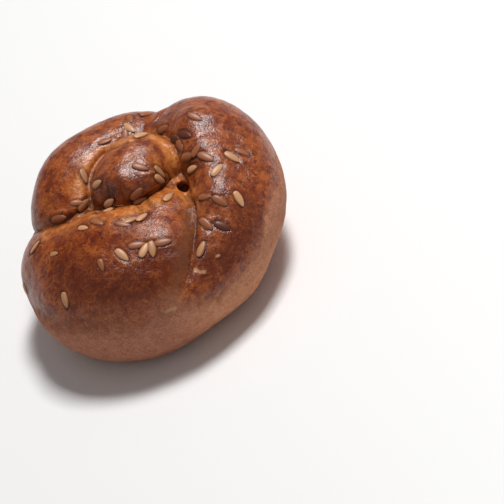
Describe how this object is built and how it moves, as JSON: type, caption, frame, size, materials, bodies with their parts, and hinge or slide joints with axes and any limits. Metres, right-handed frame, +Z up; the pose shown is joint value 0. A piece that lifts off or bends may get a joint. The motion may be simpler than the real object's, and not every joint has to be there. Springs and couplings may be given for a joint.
{
  "type": "bread roll",
  "caption": "Small knotted bread roll with a glossy browned crust, pale lower sides, a flat base and scattered seeds; one baked piece that rests on a table or plate.",
  "frame": {"origin": "middle of the roll's footprint, on the surface it rests on", "axes": "+Z up from the flat base, -Y towards the fat front lobe, +X towards the long arm"},
  "size_m": [0.072, 0.067, 0.0377],
  "materials": {
    "crust": "glazed reddish-brown bread crust, mottled, golden in the creases, pale and matt low on the sides",
    "seed": "toasted tan seed coat, slightly glossy from the glaze"
  },
  "bodies": {
    "root": {"roll": "crust"}
  },
  "joints": []
}
